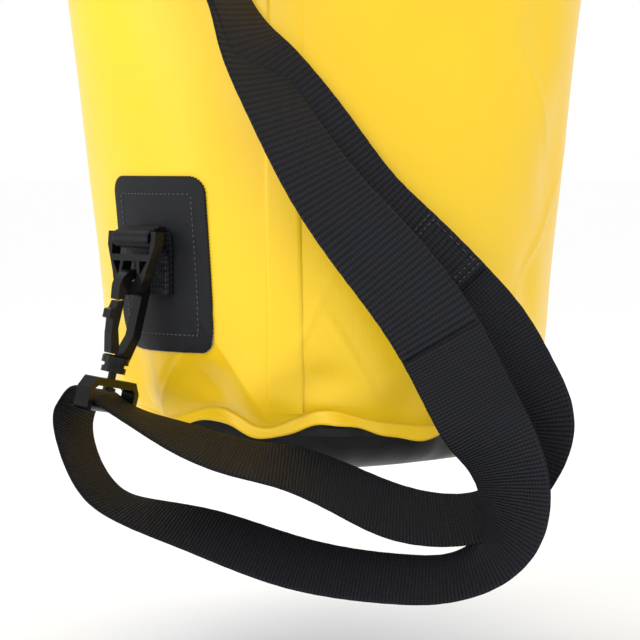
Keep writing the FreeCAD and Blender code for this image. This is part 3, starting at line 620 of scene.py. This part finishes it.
def make_roll():
    """The mouth: a spiral of fabric round the stiffener, swept along the bent roll."""
    stations = 150
    section, run = roll_section()
    count = len(section)
    s = np.linspace(-ROLL_LENGTH / 2, ROLL_LENGTH / 2, stations)
    line, out = roll_path(s)[:2]
    outer = smooth_step((np.hypot(section[:, 0], section[:, 1]) - 6) / 4.0)
    points, uv = [], []
    for i in range(stations):
        bent = smooth_step((abs(s[i]) - ROLL_FLAT / 2 + 8) / 20.0)
        crimp = 0.35 * bent * math.sin(s[i] / 1.6) + 0.3 * math.sin(s[i] / 9.0 + 1.0)
        inside = np.clip(-section[:, 1] / 7.0, 0, 1) if bent else 0
        grow = (1 + outer * crimp * (0.02 + 0.05 * inside))[:, None]
        points.append(line[i] + section[:, :1] * [0, 1, 0] * grow
                      + section[:, 1:] * grow * out[i])
        uv.append(np.stack([np.full(count, s[i]), run], -1))
    faces = grid_faces(stations, count, True) + end_caps(stations, count)
    roll = make_piece("rolled_mouth", np.vstack(points), faces, YELLOW, "pvc_yellow",
                      np.vstack(uv))
    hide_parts("roll_top")


# ---------------------------------------------------------------- webbing

def band(name, points, across, wide, thick, material, slot, phase=0.0):
    """A webbing with soft edges along points, with across as its crosswise direction."""
    points, across = np.asarray(points, float), unit(across)
    heading = unit(np.gradient(points, axis=0))
    across = unit(across - heading * np.sum(across * heading, axis=1)[:, None])
    normal = np.cross(heading, across)
    u = np.array([-1, -0.965, -0.9, -0.6, -0.2, 0.2, 0.6, 0.9, 0.965, 1])
    v = np.array([0.15, 0.75, 1.0, 0.94, 0.92, 0.92, 0.94, 1.0, 0.75, 0.15])
    section = np.concatenate([np.stack([u, v], -1), np.stack([u[::-1], -v[::-1]], -1)])
    run = np.concatenate([[0], np.cumsum(np.linalg.norm(np.diff(points, axis=0), axis=1))])
    rows, uv = [], []
    for i in range(len(points)):
        frayed = 1 + 0.004 * math.sin(run[i] / 1.3 + phase) * math.sin(run[i] / 7.0)
        rows.append(points[i] + across[i] * (section[:, :1] * wide / 2 * frayed)
                    + normal[i] * (section[:, 1:] * thick / 2))
        uv.append(np.stack([section[:, 0] * wide / 2, np.full(len(section), run[i])], -1))
    count = len(section)
    faces = grid_faces(len(points), count, True) + end_caps(len(points), count)
    return make_piece(name, np.vstack(rows), faces, material, slot, np.vstack(uv))


def stitches(name, centres, runs, normals, material, slot, long=2.6, radius=0.38):
    """Short rounded stitches laid on a surface."""
    rings, sides = 5, 6
    points, faces = [], []
    for centre, run, normal in zip(centres, unit(runs), unit(normals)):
        aside = np.cross(run, normal)
        start = len(points)
        for i in range(rings):
            p = -1 + 2 * i / (rings - 1)
            fat = radius * math.sqrt(max(0.05, 1 - p ** 4))
            middle = centre + run * (p * long / 2) + normal * (radius * 0.7 * (1 - p * p))
            for k in range(sides):
                a = 2 * math.pi * k / sides
                points.append(middle + (aside * math.cos(a) + normal * math.sin(a)) * fat)
        faces += grid_faces(rings, sides, True, start)
    return make_piece(name, np.array(points), faces, material, slot)


def clip_frame(clip):
    """The ring's bar: its middle and the axes along it, into the wall and up."""
    out = unit(clip["out"])
    along = unit((-out[1], out[0], 0))
    up = np.cross(along, -out)
    return np.array(clip["wall"]) + out * BAR_OUT, along, -out, up


def strap_bar(clip):
    """The strap frame's bar, the direction up the hook and the bar's own direction."""
    centre, along, into, up = clip_frame(clip)
    axis = unit(clip["hook_dir"])
    lean = math.asin(-axis @ along)
    tilt = math.radians(clip["tilt"])
    ring_up = up * math.cos(tilt) + into * math.sin(tilt)
    rim = centre + along * (RIM_BEND * math.sin(lean)) \
        + ring_up * (RIM_BEND * (1 - math.cos(lean)) - RIM_DROP)
    bar_dir = np.array(clip["bar_dir"])
    across = unit(bar_dir - axis * (axis @ bar_dir))
    return rim - axis * HOOK_REACH, axis, across


def bight(clip, first, last, nearest, flip):
    """The strap's middle line round a frame's bar, from the end nearest to a point."""
    bar, axis, across = strap_bar(clip)
    travel = np.cross(axis, across)
    radius = FRAME_BAR + 0.8 + STRAP_THICK / 2
    rows = []
    for angle in range(first, last + 1, 45):
        a = math.radians(angle)
        point = bar - travel * (radius * math.cos(a)) + axis * (radius * math.sin(a))
        rows.append((point, across * flip))
    near, far = (np.linalg.norm(rows[k][0] - np.array(nearest)) for k in (0, -1))
    return rows if near < far else rows[::-1]


def strap_stations(count):
    """Even stations along the closed strap: point, heading and crosswise direction."""
    rows = list(FRONT_UP)
    rows += bight(CLIPS["upper"], 0, 180, rows[-1][0], 1)
    rows += REAR_DOWN
    rows += bight(CLIPS["lower"], 90, 90, rows[-1][0], -1)
    rows += OUTER_BACK
    points = np.array([row[0] for row in rows], float)
    edges = points + unit(np.array([row[1] for row in rows], float)) * 10
    gaps = np.linalg.norm(np.roll(points, -1, axis=0) - points, axis=1) ** 0.7
    marks = np.concatenate([[0], np.cumsum(gaps)])
    middle, edge = spline(marks, points, True), spline(marks, edges, True)
    t, total = even_points(middle, 0, marks[-1], count, True)
    point = middle(t)
    heading = unit(middle(t + 0.01) - middle(t - 0.01 if t[0] > 0.01 else t))
    across = edge(t) - point
    across = unit(across - heading * np.sum(across * heading, axis=1)[:, None])
    return point, heading, across, total


def make_strap_seam(label, stations, first, lap):
    """Two double rows of stitches across a lap of the strap, joined at its edges."""
    point, heading, across = stations
    normal = np.cross(heading, across)
    edge, height = 16.5, STRAP_APART + STRAP_THICK / 2
    centres, runs, normals = [], [], []

    def stitch(row, u, run):
        centres.append(point[row] + across[row] * u + normal[row] * height)
        runs.append(run)
        normals.append(normal[row])

    rows = [int(first + lap * k) for k in (0.06, 0.14, 0.86, 0.94)]
    for row in rows:
        for u in np.linspace(-edge, edge, 13):
            stitch(row, u, across[row])
    for u in (-edge, edge):
        for row in range(rows[1] + 2, rows[2], 3):
            stitch(row, u, heading[row])
    seam = stitches("strap_stitches_" + label, centres, runs, normals, BLACK_THREAD,
                    "thread_black", 2.2, 0.42)
    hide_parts("strap_seam_" + label)


def make_strap():
    """The shoulder strap: two webbings lapped and sewn at a front and a rear seam."""
    count = 900
    point, heading, across, total = strap_stations(count)
    step = total / count
    lap = int(round(STRAP_LAP / step))
    going_up = heading[:, 2] >= 0
    far = np.linalg.norm(point - STRAP_REAR_SEAM, axis=1) + np.where(going_up, 1000, 0)
    rear = int(np.argmin(far[:count // 2]))
    normal = np.cross(heading, across)

    def lifted(numbers, sign):
        place = np.arange(len(numbers))
        inside = np.minimum(place, len(numbers) - 1 - place)
        ease = smooth_step(1 - (inside - lap) * step / 24.0)
        lift = np.where(inside <= lap, 1, ease) * STRAP_APART * sign
        return point[numbers] + normal[numbers] * lift[:, None]

    upper = np.arange(0, rear + 1)
    lower = np.arange(rear - lap, count + lap + 1) % count
    upper_web = band("upper_webbing", lifted(upper, 1), across[upper], STRAP_WIDE, STRAP_THICK,
                     COARSE, "webbing_black")
    lower_web = band("lower_webbing", lifted(lower, -1), across[lower], STRAP_WIDE, STRAP_THICK,
                     FINE, "webbing_black", 2.0)
    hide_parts("strap_upper_webbing")
    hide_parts("strap_lower_webbing")
    for label, first in (("front", 0), ("rear", rear - lap)):
        make_strap_seam(label, (point, heading, across), first, lap)
    lengths = [(len(part) - 1) * step / 1000 for part in (upper, lower)]
    return upper_web, lower_web, lengths


# ---------------------------------------------------------------- patches and tabs

def on_patch(clip, p, q, lift):
    """A point p to the right and q up from a patch's middle, lifted off the wall."""
    x, y, z = clip["wall"]
    wide, deep = half_sizes(z)[0]
    phi = math.atan2(x / wide, -y / deep)
    stretch = math.hypot(wide * math.cos(phi), deep * math.sin(phi))
    rise = unit(clip["out"])
    slope = math.hypot(rise[0], rise[1])
    level = z - PATCH_DROP * slope
    return wall_point(phi + np.asarray(p) / stretch, level + np.asarray(q) * slope, lift)


def rounded_outline(wide, high, corner, pitch):
    """Even points round a rectangle with rounded corners."""
    corners = ((1, 1, 0), (-1, 1, 90), (-1, -1, 180), (1, -1, 270))
    dense = []
    for sx, sy, start in corners:
        for angle in range(start, start + 91, 6):
            a = math.radians(angle)
            dense.append((sx * (wide / 2 - corner) + corner * math.cos(a),
                          sy * (high / 2 - corner) + corner * math.sin(a)))
    dense = np.array(dense + dense[:1])
    run = np.concatenate([[0], np.cumsum(np.linalg.norm(np.diff(dense, axis=0), axis=1))])
    marks = np.arange(0, run[-1] - pitch / 2, pitch)
    return np.stack([np.interp(marks, run, dense[:, k]) for k in (0, 1)], -1)


def make_patch(label, clip):
    """A charcoal patch with a finely serrated edge, welded to the wall."""
    outline = rounded_outline(PATCH_WIDE, PATCH_HIGH, PATCH_CORNER, 0.8)
    teeth = 1 + 0.006 * np.where(np.arange(len(outline)) % 2, 1, -1)
    outline = outline * teeth[:, None]
    shrink = (1.0, 1.0, 0.995, 0.975, 0.9, 0.78, 0.62, 0.42, 0.2, 0.01)
    lifts = (0.0, 1.0, 1.3) + 7 * (PATCH_LIFT,)
    points = np.vstack([on_patch(clip, outline[:, 0] * k, outline[:, 1] * k, lift)
                        for k, lift in zip(shrink, lifts)])
    uv = np.vstack([outline * k for k in shrink])
    patch = make_piece(label + "_patch_panel", points,
                       grid_faces(len(shrink), len(outline), True), PATCH, "pvc_black", uv)
    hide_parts(label + "_patch")


def make_patch_thread(label, clip):
    """A row of stitches inside the patch's edge."""
    path = rounded_outline(PATCH_STITCH_WIDE, PATCH_STITCH_HIGH, 1.5, 2.5)
    ahead = np.roll(path, -1, axis=0)
    start, end = (on_patch(clip, *line.T, 1.5) for line in (path, ahead))
    off = on_patch(clip, *path.T, 6.0)
    thread = stitches(label + "_patch_stitches", start, end - start, off - start,
                      GREY_THREAD, "thread_grey", 1.5, 0.24)
    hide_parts(label + "_patch_thread")


def make_patch_fibres(label, clip):
    """Pale fibres of the scrim at the lower part of the patch's cut edge."""
    edge = rounded_outline(PATCH_WIDE + 0.4, PATCH_HIGH + 0.4, PATCH_CORNER, 1.3)
    edge = edge[edge[:, 1] < -24]
    edge = edge + noise_dice.uniform(-0.35, 0.35, edge.shape)
    centres = on_patch(clip, *edge.T, 0.9)
    runs = noise_dice.normal(0, 1, centres.shape)
    tops = on_patch(clip, *edge.T, 5.0) - centres
    stitches(label + "_patch_fibres", centres, runs, tops, PALE_FIBRE, "thread_grey", 1.3, 0.10)


def make_tab(label, clip):
    """Webbing sewn to the patch and looped round the ring's bar."""
    centre, along, into, up = clip_frame(clip)
    back, front = BAR_OUT - 2.35, BAR_OUT - 3.95
    path = [(back, -26), (back, -18), (back, -8), (back - 0.3, -1), (back - 1.9, 3.6),
            (4.4, 4.9), (0.2, 3.6), (-2.4, 2.6), (-3.5, 0), (-2.4, -2.6), (0.4, -3.6),
            (3.8, -4.9), (front - 1.2, -7.4), (front - 0.15, -11.5), (front, -18), (front, -26)]
    marks = np.arange(len(path))
    curve = spline(marks, path, False)
    local = curve(even_points(curve, 0, marks[-1], 150)[0])
    points = centre + into * local[:, :1] + up * local[:, 1:]
    tab = band(label + "_tab_webbing", points, np.tile(along, (len(points), 1)), NARROW_WEB,
               NARROW_THICK, COARSE, "webbing_black")
    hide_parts(label + "_tab")

    # Five rows and two columns of stitches.  Under the first row the middle is left free,
    # because the hook's nose comes close to it.
    first_row, last_row = -10.5, -24.5
    places, runs = [], []
    for level in np.linspace(first_row, last_row, 5):
        for x in np.linspace(-9.5, 9.5, 8) if level == first_row else (-9.5, -6.8, 6.8, 9.5):
            places.append((x, level))
            runs.append(along)
    for x in (-11, 11):
        for level in np.linspace(last_row, first_row, 6):
            places.append((x, level))
            runs.append(up)
    centres = [centre + along * x + into * (front - 0.8) + up * level for x, level in places]
    stitches(label + "_tab_stitches", centres, runs, [-into] * len(runs), BLACK_THREAD,
             "thread_black", 2.2, 0.2)


# ---------------------------------------------------------------- closure

def make_closure():
    """Webbing from the roll's ends up through the buckle's halves: each with its length."""
    tip = roll_path(ROLL_LENGTH / 2)[0]
    webs = []
    for side, sign, slot_x in (("left", -1, -25.0), ("right", 1, 18.0)):
        end = np.array([sign * abs(tip[0]), 0, tip[2]])
        slot = np.array([slot_x, 0, BUCKLE_LEVEL])
        path = [end + (-sign * 0.8, 0, 0.3), end + (-sign * 3.0, 0, 2.2),
                slot + (sign * 1.6, 0, -8.6), slot + (sign * 0.2, 0, -5), slot,
                slot + (0, 0, 4), slot + (0, 0, 6.8)]
        curve = spline(np.arange(len(path)), path, False)
        t, length = even_points(curve, 0, len(path) - 1, 60)
        web = band("closure_web_" + side, curve(t), np.tile((0, 1.0, 0), (len(t), 1)),
                   NARROW_WEB, NARROW_THICK, COARSE, "webbing_black")
        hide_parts("closure_webbing_" + side)
        webs.append((web, length / 1000))
    return webs


def finish_hardware():
    """Moulded parts keep their CAD shape, with a soft edge and the plastic material.

    The stiffener is out of sight in the roll and only gets its colour.
    """
    hard = [c + "_" + part for c in CLIPS for part in ("ring", "strap_frame", "hook", "gate")]
    hard += ["buckle_female", "buckle_male", "buckle_prong_front", "buckle_prong_rear"]
    for name in hard:
        obj = frame["nodes"][name]
        obj.data.materials.clear()
        obj.data.materials.append(PLASTIC)
        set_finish(obj, "plastic_black")
        edge = obj.modifiers.new("soft_edge", "BEVEL")
        edge.width = 0.00035
        edge.segments = 2
        edge.limit_method = "ANGLE"
        edge.angle_limit = math.radians(35)
        edge.harden_normals = False
    stiffener = frame["nodes"]["mouth_stiffener"]
    stiffener.data.materials.clear()
    stiffener.data.materials.append(BLACK)


# ---------------------------------------------------------------- studio

def area_light(name, place, target, size, power):
    """A round soft light that faces a target."""
    data = bpy.data.lights.new(name, "AREA")
    data.shape = "DISK"
    data.size = size
    data.energy = power
    lamp = bpy.data.objects.new(name, data)
    lamp.location = place
    lamp.rotation_euler = (Vector(target) - Vector(place)).to_track_quat("-Z", "Y").to_euler()
    bpy.context.scene.collection.objects.link(lamp)
    return lamp


def make_lights():
    """A white room with three soft lights."""
    world = bpy.data.worlds.new("studio")
    world.use_nodes = True
    sky = world.node_tree.nodes["Background"]
    sky.inputs["Color"].default_value = (1, 1, 1, 1)
    sky.inputs["Strength"].default_value = 1.0
    bpy.context.scene.world = world
    bpy.context.scene.view_settings.view_transform = "Standard"
    middle = (0, 0, -0.4)
    return [area_light("key", (-0.9, -1.6, 0.5), middle, 0.7, 9),
            area_light("fill", (-1.5, -0.6, 0.1), middle, 0.8, 4),
            area_light("rim", (0.5, 1.5, 0.6), middle, 1.0, 4)]


def make_floor():
    """A plain pale floor, wide enough to reach the horizon."""
    corners = [(x * FLOOR_HALF, y * FLOOR_HALF, FLOOR_LEVEL)
               for x, y in ((-1, -1), (1, -1), (1, 1), (-1, 1))]
    mesh = bpy.data.meshes.new("floor")
    mesh.from_pydata(corners, [], [(0, 1, 2, 3)])
    ground = Shader("pale_floor", (0.985, 0.985, 0.985), 0.7)
    ground.vary_roughness(ground.noise(6.0), 0.6, 0.8)
    mesh.materials.append(ground.mat)
    floor = bpy.data.objects.new("floor", mesh)
    bpy.context.scene.collection.objects.link(floor)
    return floor


def make_camera():
    """The photograph's view, close to the lower half of the bag."""
    data = bpy.data.cameras.new("camera")
    data.sensor_width = 36
    data.lens = 118.9
    camera = bpy.data.objects.new("camera", data)
    camera.location = (-0.003, -1.0474, -0.4276)
    camera.rotation_euler = (math.radians(86), 0, 0)
    bpy.context.scene.collection.objects.link(camera)
    bpy.context.scene.camera = camera


# ---------------------------------------------------------------- the whole

shell = make_shell()
make_seam_strip()
make_bottom()
make_roll()
for label, clip in CLIPS.items():
    make_patch(label, clip)
    make_patch_thread(label, clip)
    make_patch_fibres(label, clip)
    make_tab(label, clip)
upper_web, lower_web, web_lengths = make_strap()
closures = make_closure()
finish_hardware()
lamps = make_lights()
make_floor()
make_camera()

for piece in [o for o in bpy.context.scene.objects if o.get("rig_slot")]:
    if piece.name in frame["nodes"] or piece in (upper_web, lower_web):
        continue
    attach(piece, "root")
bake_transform(lower_web)
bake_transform(upper_web)
